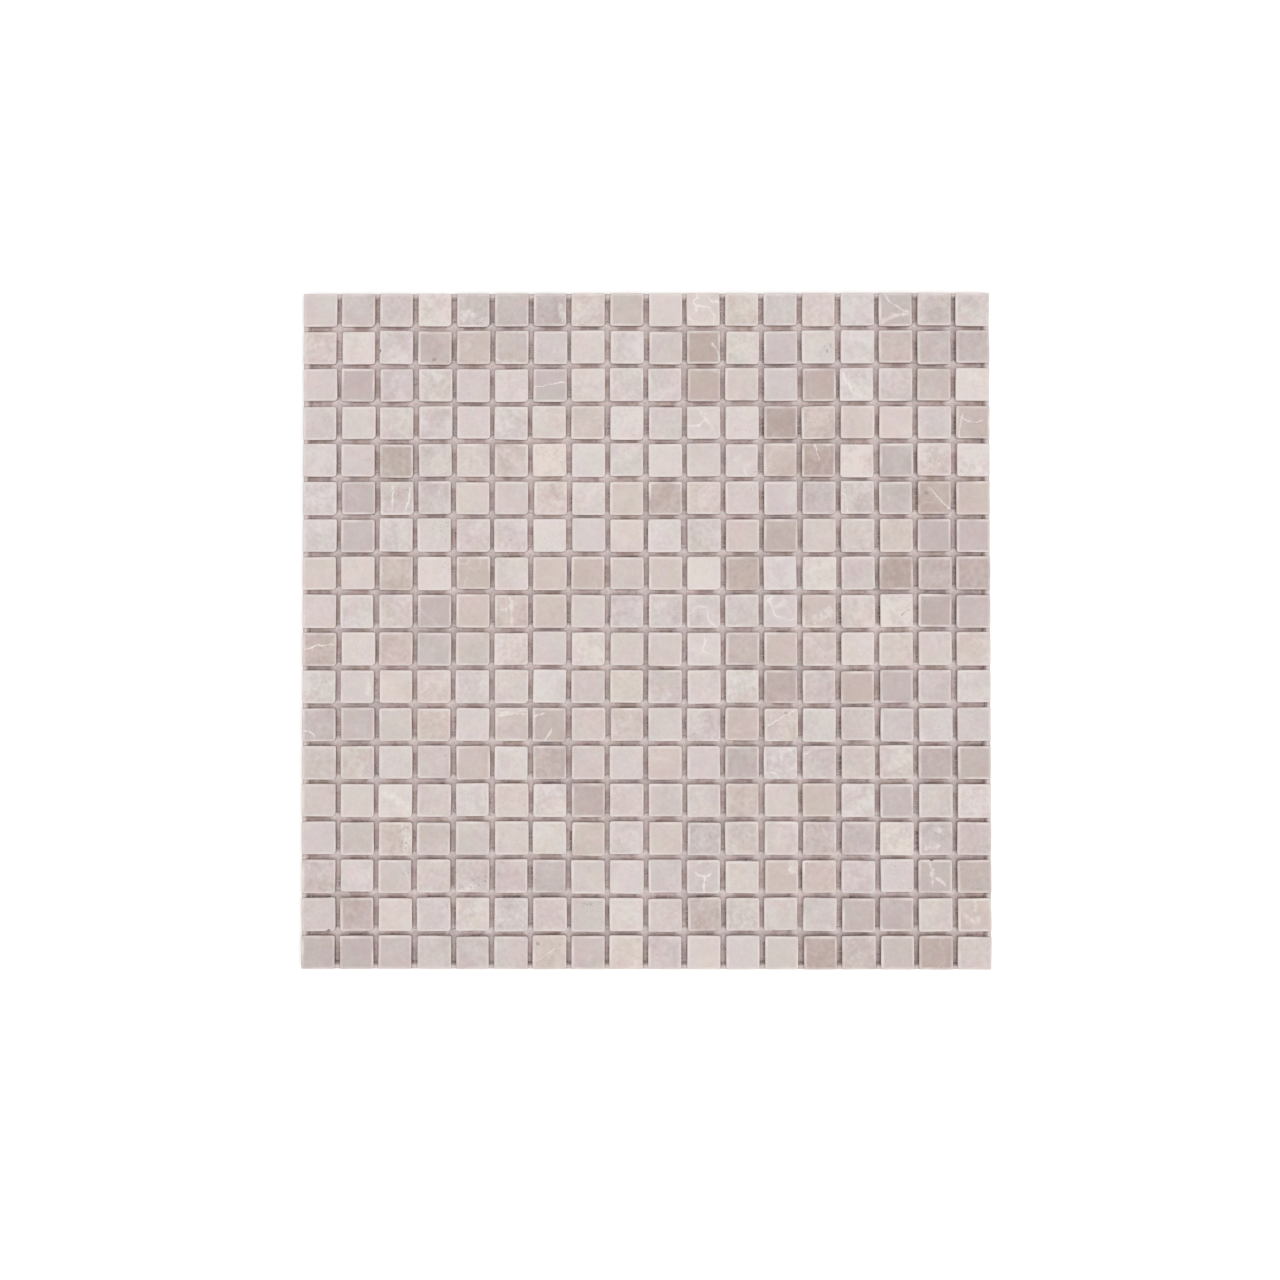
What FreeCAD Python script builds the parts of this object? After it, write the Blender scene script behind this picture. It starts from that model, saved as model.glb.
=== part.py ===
import FreeCAD, Part
import os
import Sketcher

# Mosaic tile sheet: square stone chips in an open grid on a woven glass-fibre net.
# Lengths are millimetres. The sheet lies face up: +X is to its right, +Y towards its
# first row, +Z out of its face, and the origin is under its middle, on the net's back.

NODE_FOLDER = "parts"
SHEET = "Sizes"

DRIVING = {
    # Stone chips, sawn square, with the four upright corners cut back
    "chip_side": 15.0,
    "chip_thickness": 4.0,
    "corner_cut": 0.7,
    "chips_across": 18,
    "chip_rows": 18,
    # Open joints, between chips side by side and between one row and the next
    "joint_across": 2.2,
    "joint_down": 1.9,
    # Net: the weft threads run along X at its back, the warp threads along Y over them
    "weft_width": 0.55,
    "weft_thickness": 0.2,
    "weft_pitch": 2.24,
    "warp_width": 0.5,
    "warp_thickness": 0.2,
    "warp_pitch": 2.0,
    # How far the net is trimmed inside the outer edges of the chips
    "net_inset": 0.5,
}

DERIVED = {
    "column_pitch": "=chip_side + joint_across",
    "row_pitch": "=chip_side + joint_down",
    "sheet_width": "=chips_across * column_pitch - joint_across",
    "sheet_height": "=chip_rows * row_pitch - joint_down",
    "net_thickness": "=weft_thickness + warp_thickness",
    "net_width": "=sheet_width - 2 * net_inset",
    "net_height": "=sheet_height - 2 * net_inset",
    "weft_count": "=floor((net_height - weft_width) / weft_pitch) + 1",
    "warp_count": "=floor((net_width - warp_width) / warp_pitch) + 1",
    # From the middle of the first piece to the middle of the last
    "chip_run": "=(chips_across - 1) * column_pitch",
    "row_run": "=(chip_rows - 1) * row_pitch",
    "weft_run": "=(weft_count - 1) * weft_pitch",
    "warp_run": "=(warp_count - 1) * warp_pitch",
}


def size(name):
    """The expression that reads one named value."""
    return f"{SHEET}.{name}"


def add_sizes(doc):
    """A spreadsheet with every named value beside its name."""
    sheet = doc.addObject("Spreadsheet::Sheet", SHEET)
    for row, (name, value) in enumerate({**DRIVING, **DERIVED}.items(), start=1):
        sheet.set(f"A{row}", name)
        sheet.set(f"B{row}", str(value))
        sheet.setAlias(f"B{row}", name)
    doc.recompute()
    return sheet


def base_feature(body, role):
    """One of the body's own origin planes or axes."""
    return next(item for item in body.Origin.OriginFeatures if item.Role == role)


def add_body(doc, label, first_x, first_y, bottom):
    """A body whose own origin is under the middle of the first piece of its pattern."""
    body = doc.addObject("PartDesign::Body", label)
    body.Label = label
    for axis, expression in zip("xyz", (first_x, first_y, bottom)):
        body.setExpression(f"Placement.Base.{axis}", expression)
    return body


def add_rectangle(body, width, height):
    """A sketched rectangle about the body's origin, its two sides bound to named values."""
    sketch = body.newObject("Sketcher::SketchObject", f"{body.Label}_outline")
    sketch.AttachmentSupport = [(base_feature(body, "XY_Plane"), "")]
    sketch.MapMode = "FlatFace"
    corners = [FreeCAD.Vector(x, y, 0) for x, y in ((-1, -1), (1, -1), (1, 1), (-1, 1))]
    for start, end in zip(corners, corners[1:] + corners[:1]):
        sketch.addGeometry(Part.LineSegment(start, end), False)
    for line, direction in enumerate(("Horizontal", "Vertical", "Horizontal", "Vertical")):
        sketch.addConstraint(Sketcher.Constraint("Coincident", line, 2, (line + 1) % 4, 1))
        sketch.addConstraint(Sketcher.Constraint(direction, line))
    # The ends of one diagonal lie evenly about the origin
    sketch.addConstraint(Sketcher.Constraint("Symmetric", 0, 1, 1, 2, -1, 1))
    for side, line, kind, value in (("width", 0, "DistanceX", width), ("height", 1, "DistanceY", height)):
        index = sketch.addConstraint(Sketcher.Constraint(kind, line, 1, line, 2, 2.0))
        sketch.renameConstraint(index, side)
        sketch.setExpression(f"Constraints.{side}", size(value))
    return sketch


def add_pad(body, sketch, thickness):
    """The sketch raised to a plate."""
    pad = body.newObject("PartDesign::Pad", f"{body.Label}_plate")
    pad.Profile = sketch
    pad.setExpression("Length", size(thickness))
    body.Document.recompute()
    return pad


def cut_corners(body, plate, cut):
    """The plate with its four upright edges cut back evenly."""
    upright = [
        f"Edge{number}"
        for number, edge in enumerate(plate.Shape.Edges, start=1)
        if edge.BoundBox.ZLength > max(edge.BoundBox.XLength, edge.BoundBox.YLength)
    ]
    chamfer = body.newObject("PartDesign::Chamfer", f"{body.Label}_corners")
    chamfer.Base = (plate, upright)
    chamfer.setExpression("Size", size(cut))
    return chamfer


def repeat(body, role, pitch, count):
    """The body's whole shape repeated along one of its axes as separate pieces."""
    body.Document.recompute()
    pattern = body.newObject("PartDesign::LinearPattern", f"{body.Label}_run")
    pattern.TransformMode = "Whole shape"
    pattern.Direction = (base_feature(body, role), [""])
    pattern.Mode = "Spacing"
    pattern.setExpression("Offset", size(pitch))
    pattern.setExpression("Occurrences", size(count))
    body.Tip = pattern
    return pattern


def add_chip_row(doc, number):
    """One row of chips, seated on the net's warp threads. Row 1 is the one furthest up Y."""
    body = add_body(
        doc,
        f"chip_row_{number:02d}",
        f"-{size('chip_run')} / 2",
        f"{size('row_run')} / 2 - {number - 1} * {size('row_pitch')}",
        size("net_thickness"),
    )
    outline = add_rectangle(body, "chip_side", "chip_side")
    cut_corners(body, add_pad(body, outline, "chip_thickness"), "corner_cut")
    repeat(body, "X_Axis", "column_pitch", "chips_across")
    return body


def add_weft(doc):
    """The threads from side to side, which the sheet lies on."""
    body = add_body(doc, "net_weft_threads", "0", f"-{size('weft_run')} / 2", "0")
    add_pad(body, add_rectangle(body, "net_width", "weft_width"), "weft_thickness")
    repeat(body, "Y_Axis", "weft_pitch", "weft_count")
    return body


def add_warp(doc):
    """The threads from row to row, which rest on the weft and carry the chips."""
    body = add_body(doc, "net_warp_threads", f"-{size('warp_run')} / 2", "0", size("weft_thickness"))
    add_pad(body, add_rectangle(body, "warp_width", "net_height"), "warp_thickness")
    repeat(body, "X_Axis", "warp_pitch", "warp_count")
    return body


def check(doc, bodies):
    """Stop before anything is written if a feature failed or a shape isn't sound."""
    for item in doc.Objects:
        if {"Invalid", "Error"} & set(item.State):
            raise RuntimeError(f"{item.Label} failed: {item.State}")
    for body in bodies:
        if body.Shape.isNull() or not body.Shape.isValid():
            raise RuntimeError(f"{body.Label} has no sound shape")


def write(bodies):
    """One file for each body, named after it."""
    os.makedirs(NODE_FOLDER, exist_ok=True)
    for body in bodies:
        body.Shape.exportStep(os.path.join(NODE_FOLDER, f"{body.Label}.step"))
        box = body.Shape.BoundBox
        print(
            f"{body.Label}: {len(body.Shape.Solids)} pieces, {body.Shape.Volume:.1f} mm3, "
            f"x {box.XMin:.2f} to {box.XMax:.2f}, y {box.YMin:.2f} to {box.YMax:.2f}, "
            f"z {box.ZMin:.2f} to {box.ZMax:.2f}"
        )


def main():
    doc = FreeCAD.newDocument("MosaicTileSheet")
    sheet = add_sizes(doc)
    bodies = [add_weft(doc), add_warp(doc)]
    bodies += [add_chip_row(doc, number) for number in range(1, int(sheet.chip_rows) + 1)]
    doc.recompute()
    check(doc, bodies)
    write(bodies)


main()
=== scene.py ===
"""Looks of a mosaic tile sheet: honed stone chips in an open grid on a woven glass-fibre net.

Everything is in metres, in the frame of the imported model: the sheet lies face up on the
floor, with +X to its right and +Y towards its first row of chips.
"""

import logging
import math
import random
from dataclasses import dataclass, field
from enum import Enum
from typing import Any, ClassVar, Mapping, Sequence

import bmesh
import bpy
from mathutils import Matrix, Vector


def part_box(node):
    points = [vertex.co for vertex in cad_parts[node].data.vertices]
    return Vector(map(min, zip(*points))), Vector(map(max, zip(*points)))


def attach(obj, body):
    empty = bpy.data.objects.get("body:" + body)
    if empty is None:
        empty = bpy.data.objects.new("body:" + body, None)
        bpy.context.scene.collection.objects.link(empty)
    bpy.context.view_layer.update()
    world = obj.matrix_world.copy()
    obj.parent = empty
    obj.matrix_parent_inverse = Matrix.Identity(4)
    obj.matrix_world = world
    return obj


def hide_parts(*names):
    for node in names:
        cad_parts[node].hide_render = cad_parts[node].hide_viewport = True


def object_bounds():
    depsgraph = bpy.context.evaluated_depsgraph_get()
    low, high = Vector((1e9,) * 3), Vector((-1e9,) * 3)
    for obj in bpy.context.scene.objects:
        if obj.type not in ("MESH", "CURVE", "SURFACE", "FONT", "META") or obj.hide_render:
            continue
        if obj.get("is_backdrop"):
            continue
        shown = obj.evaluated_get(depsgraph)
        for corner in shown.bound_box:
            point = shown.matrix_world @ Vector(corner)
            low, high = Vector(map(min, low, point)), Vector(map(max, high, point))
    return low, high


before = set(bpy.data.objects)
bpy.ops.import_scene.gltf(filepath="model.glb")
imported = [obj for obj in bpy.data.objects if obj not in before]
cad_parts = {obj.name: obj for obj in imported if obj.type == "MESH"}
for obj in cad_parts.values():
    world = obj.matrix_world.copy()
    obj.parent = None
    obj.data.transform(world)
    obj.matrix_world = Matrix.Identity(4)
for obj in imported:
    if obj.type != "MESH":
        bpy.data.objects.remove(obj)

LOG = logging.getLogger("mosaic_tile_sheet")
BODY = "root"
MM = 0.001

Colour = tuple[float, float, float]
Shape = bmesh.types.BMesh
Socket = bpy.types.NodeSocket
Settings = Mapping[str, Any] | None
Inputs = Mapping[str | int, Any] | None


def srgb(*channels: int) -> Colour:
    """Turn a colour as a screen shows it into the linear one that shaders use.

    Args:
        channels: Red, green and blue, from 0 to 255.

    Returns:
        The linear colour.
    """
    shares = (channel / 255 for channel in channels)
    return tuple(
        share / 12.92 if share <= 0.04045 else ((share + 0.055) / 1.055) ** 2.4 for share in shares
    )


def finished(name: str, shape: Shape, finish: bpy.types.Material) -> bpy.types.Object:
    """Put a shape in the scene as a piece with its finish.

    Args:
        name: The piece's name.
        shape: Its mesh, which is freed.
        finish: Its material.

    Returns:
        The piece.
    """
    mesh = bpy.data.meshes.new(name)
    shape.to_mesh(mesh)
    shape.free()
    mesh.materials.append(finish)
    made = bpy.data.objects.new(name, mesh)
    bpy.context.scene.collection.objects.link(made)
    return made


def join(together: Shape, part: Shape) -> None:
    """Add one mesh to another.

    Args:
        together: The mesh that it is added to.
        part: The mesh to add, which is freed.
    """
    single = bpy.data.meshes.new("part")
    part.to_mesh(single)
    part.free()
    together.from_mesh(single)
    bpy.data.meshes.remove(single)


def bar(size: Sequence[float], cuts: int) -> Shape:
    """Shape a bar about the origin, along X.

    Args:
        size: Its length, width and thickness.
        cuts: How many times it is divided along its length.

    Returns:
        The bar.
    """
    made = bmesh.new()
    bmesh.ops.create_cube(made, size=1.0)
    bmesh.ops.scale(made, vec=size, verts=made.verts)
    lengthwise = [e for e in made.edges if abs(e.verts[0].co.x - e.verts[1].co.x) > size[0] / 2]
    bmesh.ops.subdivide_edges(made, edges=lengthwise, cuts=cuts)
    return made


def put(shape: Shape, turn: float, place: Sequence[float]) -> Shape:
    """Turn a shape about Z and move it.

    Args:
        shape: The shape, about the origin.
        turn: How far it is turned.
        place: Where it goes.

    Returns:
        The same shape.
    """
    bmesh.ops.rotate(shape, cent=(0, 0, 0), matrix=Matrix.Rotation(turn, 3, "Z"), verts=shape.verts)
    bmesh.ops.translate(shape, vec=place, verts=shape.verts)
    return shape


class Value:
    """One number over the surface: a shader socket that arithmetic can be written on."""

    def __init__(self, shader: "Shader", socket: Socket) -> None:
        """Keep the socket and the shader that it belongs to."""
        self.shader = shader
        self.socket = socket

    def _math(self, operation: str, *operands: Any) -> "Value":
        """Add one Math node."""
        return self.shader.value("ShaderNodeMath", {"operation": operation}, dict(enumerate(operands)))

    def __add__(self, other: Any) -> "Value":
        """Self plus other."""
        return self._math("ADD", self, other)

    def __radd__(self, other: Any) -> "Value":
        """Other plus self."""
        return self._math("ADD", other, self)

    def __sub__(self, other: Any) -> "Value":
        """Self minus other."""
        return self._math("SUBTRACT", self, other)

    def __rsub__(self, other: Any) -> "Value":
        """Other minus self."""
        return self._math("SUBTRACT", other, self)

    def __mul__(self, other: Any) -> "Value":
        """Self times other."""
        return self._math("MULTIPLY", self, other)

    def __rmul__(self, other: Any) -> "Value":
        """Other times self."""
        return self._math("MULTIPLY", other, self)

    def __abs__(self) -> "Value":
        """The size of self without its sign."""
        return self._math("ABSOLUTE", self)

    def at_most(self, other: Any) -> "Value":
        """The lesser of self and other."""
        return self._math("MINIMUM", self, other)

    def at_least(self, other: Any) -> "Value":
        """The greater of self and other."""
        return self._math("MAXIMUM", self, other)

    def ramp(self, low: float, high: float) -> "Value":
        """Rise smoothly from 0 where self is low to 1 where it is high.

        Args:
            low: The value that gives 0.
            high: The value that gives 1; below low, the ramp falls instead.

        Returns:
            The ramped value, from 0 to 1.
        """
        if high < low:
            return 1 - self.ramp(high, low)
        inputs = {"Value": self, "From Min": low, "From Max": high}
        return self.shader.value("ShaderNodeMapRange", {"interpolation_type": "SMOOTHSTEP"}, inputs)


class Shader:
    """The nodes of a material, or of the sky, and the short ways of adding to them."""

    def __init__(self, name: str, layer: str = "", sky: bpy.types.World | None = None) -> None:
        """Start with an empty material.

        Args:
            name: The material's name.
            layer: The mesh's attribute that noise is read at, if not at the Object coordinates.
            sky: The sky to dress instead of a new material.
        """
        self.dressed = sky or bpy.data.materials.new(name)
        self.dressed.use_nodes = True
        self.tree = self.dressed.node_tree
        self.tree.nodes.clear()
        self.layer = layer

    def node(self, kind: str, settings: Settings = None, inputs: Inputs = None) -> bpy.types.Node:
        """Add a node, set it up and feed its sockets.

        Args:
            kind: The node's type.
            settings: Properties of the node, set before its sockets.
            inputs: A number, colour, Value or socket for each named or numbered input.

        Returns:
            The node.
        """
        made = self.tree.nodes.new(kind)
        for name, setting in (settings or {}).items():
            setattr(made, name, setting)
        for key, given in (inputs or {}).items():
            source = given.socket if isinstance(given, Value) else given
            if isinstance(source, Socket):
                self.tree.links.new(source, made.inputs[key])
            elif hasattr(made.inputs[key].default_value, "__len__") and len(source) == 3:
                size = len(made.inputs[key].default_value)
                made.inputs[key].default_value = (*source, 1.0)[:size]
            else:
                made.inputs[key].default_value = source
        return made

    def value(self, kind: str, settings: Settings = None, inputs: Inputs = None) -> Value:
        """Add a node and take its first output as a number."""
        return Value(self, self.node(kind, settings, inputs).outputs[0])

    def attribute(self, name: str, output: str = "Vector") -> Socket:
        """One output of a named attribute of the mesh."""
        return self.node("ShaderNodeAttribute", {"attribute_name": name}).outputs[output]

    def place(self) -> Socket:
        """The coordinates that patterns are read at.

        Returns:
            Their socket.
        """
        if self.layer:
            return self.attribute(self.layer)
        return self.node("ShaderNodeTexCoord").outputs["Object"]

    def parts(self, whole: Socket) -> list[Value]:
        """The three numbers of a vector or colour."""
        split = self.node("ShaderNodeSeparateXYZ", {}, {0: whole})
        return [Value(self, output) for output in split.outputs]

    def noise(self, per_metre: float, detail: float, twist: float = 0.0) -> Value:
        """Soft noise about 0, mostly between -0.3 and 0.3.

        Args:
            per_metre: How many blotches there are to a metre.
            detail: How many finer octaves are added.
            twist: How far the pattern is distorted by itself.

        Returns:
            The noise.
        """
        inputs = {"Vector": self.place(), "Scale": per_metre, "Detail": detail, "Distortion": twist}
        return self.value("ShaderNodeTexNoise", {}, inputs) - 0.5

    def blend(self, share: Any, first: Any, second: Any, how: str = "MIX") -> Socket:
        """Mix two colours.

        Args:
            share: How much of the second shows.
            first: The colour, or its socket, where share is 0.
            second: The colour, or its socket, where share is 1.
            how: The way of mixing.

        Returns:
            The mixed colour's socket.
        """
        settings = {"data_type": "RGBA", "blend_type": how}
        return self.node("ShaderNodeMix", settings, {0: share, 6: first, 7: second}).outputs[2]

    def stops(self, position: Value, stops: Mapping[float, Colour]) -> Socket:
        """A colour that runs through several stops.

        Args:
            position: Where on the ramp each point lies, from 0 to 1.
            stops: The colour at each place on the ramp.

        Returns:
            The colour's socket.
        """
        made = self.node("ShaderNodeValToRGB", {}, {"Fac": position})
        elements = made.color_ramp.elements
        while len(elements) < len(stops):
            elements.new(1.0)
        for element, (place, colour) in zip(elements, stops.items()):
            element.position = place
            element.color = (*colour, 1.0)
        return made.outputs["Color"]

    def bump(self, height: Value, depth: float, strength: float) -> Socket:
        """A normal that follows a height.

        Args:
            height: The height over the surface.
            depth: How far a height of 1 stands up, in metres.
            strength: How much of the effect is used.

        Returns:
            The normal's socket.
        """
        inputs = {"Height": height, "Distance": depth, "Strength": strength}
        return self.node("ShaderNodeBump", {}, inputs).outputs["Normal"]

    def surface(self, inputs: Inputs) -> bpy.types.Material:
        """Finish the material as one surface.

        Args:
            inputs: What the surface's sockets get.

        Returns:
            The material.
        """
        body = self.node("ShaderNodeBsdfPrincipled", {}, inputs)
        self.node("ShaderNodeOutputMaterial", {}, {"Surface": body.outputs["BSDF"]})
        return self.dressed


@dataclass(frozen=True)
class HonedMarble:
    """Cream to taupe marble, sawn and rubbed to a matt face, each chip from its own place."""

    # From the palest to the deepest
    shades: tuple[Colour, ...] = (
        srgb(230, 219, 215), srgb(217, 204, 200), srgb(205, 190, 186), srgb(193, 176, 171),
        srgb(180, 161, 156),
    )
    warm: Colour = (1.026, 1.000, 0.966)
    cool: Colour = (0.976, 1.000, 1.032)
    rosy: Colour = (1.016, 0.978, 1.010)
    greenish: Colour = (0.984, 1.022, 0.990)
    vein: Colour = srgb(240, 232, 228)
    pit: Colour = srgb(122, 108, 106)
    # Paler rim along each chip's top edge: partly wear, partly painted highlight
    worn_edge_and_highlight: Colour = srgb(236, 225, 221)
    # The sides' colour: slightly darker and warmer, painted shade for the joints that they face
    shaded_sawn_side: Colour = (1.0, 0.985, 0.975)
    roughness: float = 0.5
    # Where the paler rim of wear and painted highlight starts and is full, and where the sawn side with its
    # painted shade is full and starts, in half sizes
    edge: tuple[float, float] = (0.79, 0.945)
    side: tuple[float, float] = (0.84, 0.70)

    def material(self) -> bpy.types.Material:
        """Build the shader.

        Returns:
            The material.
        """
        shader = Shader("honed_marble", layer="stone")
        darkness, warmth, veining = shader.parts(shader.attribute("shade", "Color"))
        speckling = Value(shader, shader.attribute("shade", "Alpha"))

        liveliness = shader.noise(9.0, 0.0).ramp(-0.15, 0.25) * 1.5 + 0.6
        mottle = shader.noise(480.0, 3.0) * 0.43
        grain = shader.noise(2400.0, 2.0)
        tone = darkness + (shader.noise(90.0, 2.0, 0.5) * 0.44 + mottle) * liveliness + grain * 0.5
        colour = shader.stops(tone, dict(zip((0.0, 0.25, 0.5, 0.75, 1.0), self.shades)))
        warming = (warmth + shader.noise(130.0, 3.0, 0.6) * 1.6).ramp(0.0, 1.0)
        colour = shader.blend(1.0, colour, shader.blend(warming, self.cool, self.warm), "MULTIPLY")
        greening = (shader.noise(70.0, 3.0, 0.6) * 2.6 + 0.5).ramp(0.0, 1.0)
        colour = shader.blend(1.0, colour, shader.blend(greening, self.rosy, self.greenish), "MULTIPLY")

        veins = self._veins(shader, veining)
        for layer in Chip.VEIN_LAYERS:
            veins = veins.at_least(self._stroke(shader, layer))
        colour = shader.blend(veins, colour, self.vein)
        pits = self._pits(shader, speckling)
        colour = shader.blend(pits * 0.7, colour, self.pit)

        across, along, height = shader.parts(shader.attribute("chip"))
        # The rim reaches further in on the left and top edges: painted highlight from that side
        out = (abs(across) - across * 0.03).at_least(abs(along) + along * 0.022)
        shaded_sawn_side = height.ramp(*self.side)
        rubbed = (shader.noise(110.0, 1.0) * 2.0 + 0.56).at_least(0.1)
        colour = shader.blend(out.ramp(*self.edge) * (1 - shaded_sawn_side) * rubbed, colour, self.worn_edge_and_highlight)
        # Painted shade: the chip's sides slightly darker and warmer
        colour = shader.blend(shaded_sawn_side, colour, shader.blend(1.0, colour, self.shaded_sawn_side, "MULTIPLY"))
        inputs = {
            "Base Color": colour,
            "Roughness": self.roughness + mottle * 0.6 + shaded_sawn_side * 0.3,
            "Normal": shader.bump(grain * 0.5 + mottle * 2.0 - pits * 1.5, 0.06 * MM, 0.5),
        }
        return shader.surface(inputs)

    @staticmethod
    def _veins(shader: Shader, amount: Value) -> Value:
        """Fine pale veins where a slow noise crosses zero, with soft patches beside them.

        Args:
            shader: The shader to add to.
            amount: How veined the chip is, from 0 to 1.

        Returns:
            How much vein shows, from 0 to 1.
        """
        course = abs(shader.noise(36.0, 3.0))
        line = course.ramp(0.009, 0.002) * shader.noise(170.0, 1.0).ramp(-0.12, 0.10)
        haze = course.ramp(0.05, 0.0)
        patch = shader.noise(120.0, 4.0, 0.8).ramp(0.10, 0.24)
        return (line * 0.85 + haze * 0.18 + patch * 0.55).at_most(1.0) * amount

    @staticmethod
    def _band(shader: Shader, layer: str, wobble: float) -> Value:
        """How far inside the band of one stroke a point lies, in shares of the band's width.

        Args:
            shader: The shader to add to.
            layer: The name of the stroke's attribute.
            wobble: How far its course wanders, in half sides of a chip.

        Returns:
            1 in its middle, 0 at its edge and less outside it.
        """
        along, beside, bow = shader.parts(shader.attribute(layer, "Color"))
        thinness = Value(shader, shader.attribute(layer, "Alpha"))
        wander = shader.noise(230.0, 2.0) * wobble + shader.noise(1100.0, 1.0) * wobble * 0.4
        course = beside - bow * (1 - along * along) + wander
        return 1 - abs(course) * thinness - (abs(along) - 0.75).at_least(0.0) * 3

    def _stroke(self, shader: Shader, layer: str) -> Value:
        """One pale vein that was drawn for a chip, ragged, uneven in width and here and there broken.

        Args:
            shader: The shader to add to.
            layer: The name of the stroke's attribute.

        Returns:
            How much vein shows, from 0 to 1.
        """
        uneven = shader.noise(560.0, 5.0)
        inside = (self._band(shader, layer, 0.34) + uneven * 2.4).ramp(-0.1, 0.75)
        broadness = Value(shader, shader.attribute(layer, "Alpha")).ramp(16.0, 4.0)
        slow = shader.noise(150.0, 1.0) * (1.8 - broadness * 1.3)
        strength = 0.85 + slow + (uneven * 1.4 - 0.42) * broadness
        return inside * strength.at_least(0.0)

    def _pits(self, shader: Shader, amount: Value) -> Value:
        """Dark pin holes and specks: a few anywhere, and more where they were drawn for a chip.

        Args:
            shader: The shader to add to.
            amount: How pitted the chip is, from 0 to 1.

        Returns:
            How much pit shows, from 0 to 1.
        """
        cells = shader.value("ShaderNodeTexVoronoi", {}, {"Vector": shader.place(), "Scale": 850.0})
        distance = cells + shader.noise(1700.0, 2.0) * 0.5
        chance = shader.noise(190.0, 1.0).ramp(0.05, 0.16) * amount * 0.7
        drawn = self._band(shader, Chip.SPECK_LAYER, 0.3).ramp(-0.3, 0.3)
        # A narrow stroke is one dark dot, and a broad one a field of pin holes
        narrow = Value(shader, shader.attribute(Chip.SPECK_LAYER, "Alpha")).ramp(6.5, 8.5)
        scattered = drawn * shader.noise(520.0, 1.0).ramp(-0.13, 0.16)
        shade = scattered * 0.13 + drawn * narrow * 0.55
        return (distance.ramp(0.42, 0.18) * chance.at_least(scattered)).at_least(shade)


@dataclass(frozen=True)
class Joints:
    """Where the open joints and the threads run, for finishes that differ there: pitches on X and Y."""

    pitch: tuple[float, float]
    thread_pitch: tuple[float, float]
    # How far to the right of each crossing, and above it, the paler colour at crossings is centred, partly
    # painted light
    shift: tuple[float, float] = (0.2 * MM, 0.4 * MM)

    def nearness(
        self, shader: Shader, reach: float, full: float, shift: tuple[float, float] | None = None
    ) -> Value:
        """How near a point of a joint is to where two joints cross.

        Args:
            shader: The shader to add to.
            reach: How far from a crossing the effect fades out, in mm.
            full: How far from a crossing it is full, in mm.
            shift: How far to the right of each crossing, and above it, the effect lies.

        Returns:
            1 out to full, 0 from reach on.
        """
        across, down = self._folded(shader, self.pitch, shift or self.shift)
        ragged = shader.noise(420.0, 2.0) * 2.0 * MM
        return (across.at_least(down) + ragged).ramp(reach * MM, full * MM)

    def lit_mouths(self, shader: Shader) -> Value:
        """Where the joints open into a crossing, a little way out from its middle, for the painted light
        there.

        Args:
            shader: The shader to add to.

        Returns:
            1 at the upper and left mouth, half of it at the others, 0 in the middle and along the joints.
        """
        below = (self.shift[0], -self.shift[1])
        within = self.nearness(shader, 5.0, 2.9, below)
        middle = self.nearness(shader, 2.6, 0.4, below)
        upper_left = self.nearness(shader, 4.9, 2.3, (-2.5 * MM, 2.5 * MM))
        return within * (1 - middle) * (0.45 + upper_left * 0.55)

    def over_threads(self, shader: Shader) -> Value:
        """1 where a thread of the net lies close under a point, 0 between threads."""
        warp, weft = self._folded(shader, self.thread_pitch, (0.0, 0.0))
        return warp.at_most(weft).ramp(0.4 * MM, 0.15 * MM)

    @staticmethod
    def _folded(shader: Shader, pitch: tuple[float, float], shift: tuple[float, float]) -> list[Value]:
        """The distances on X and on Y to the nearest of two sets of lines.

        Args:
            shader: The shader to add to.
            pitch: How far apart the lines of each set are.
            shift: How far the lines are moved.

        Returns:
            The two distances.
        """
        fold = {"operation": "PINGPONG"}
        return [
            shader.value("ShaderNodeMath", fold, {0: at - moved, 1: apart / 2})
            for at, apart, moved in zip(shader.parts(shader.place()), pitch, shift)
        ]


@dataclass(frozen=True)
class GlassFibre:
    """White glass-fibre thread, stiff with dried adhesive."""

    joints: Joints
    # Paler near the crossings and darker along the joints: partly adhesive, partly painted light and shade
    clean_and_lit: Colour = srgb(244, 236, 233)
    soaked_and_shaded: Colour = srgb(227, 210, 206)
    roughness: float = 0.55

    def material(self) -> bpy.types.Material:
        """Build the shader.

        Returns:
            The material.
        """
        shader = Shader("glass_fibre_net")
        fibre = shader.noise(2600.0, 1.0)
        # Paler near the crossings, where more light falls into the open corners, and darker along the
        # joints: painted light and shade on top of random unevenness
        pale = self.joints.nearness(shader, 6.0, 1.5)
        uneven = shader.noise(62.0, 2.0) * 1.8 + shader.noise(210.0, 1.0) * 1.4
        share = 0.72 - pale * 0.5 - uneven + fibre * 0.35
        inputs = {
            "Base Color": shader.blend(share.ramp(0.0, 1.0), self.clean_and_lit, self.soaked_and_shaded),
            "Roughness": self.roughness + fibre * 0.3,
            "Normal": shader.bump(fibre, 0.04 * MM, 0.2),
        }
        return shader.surface(inputs)


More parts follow.
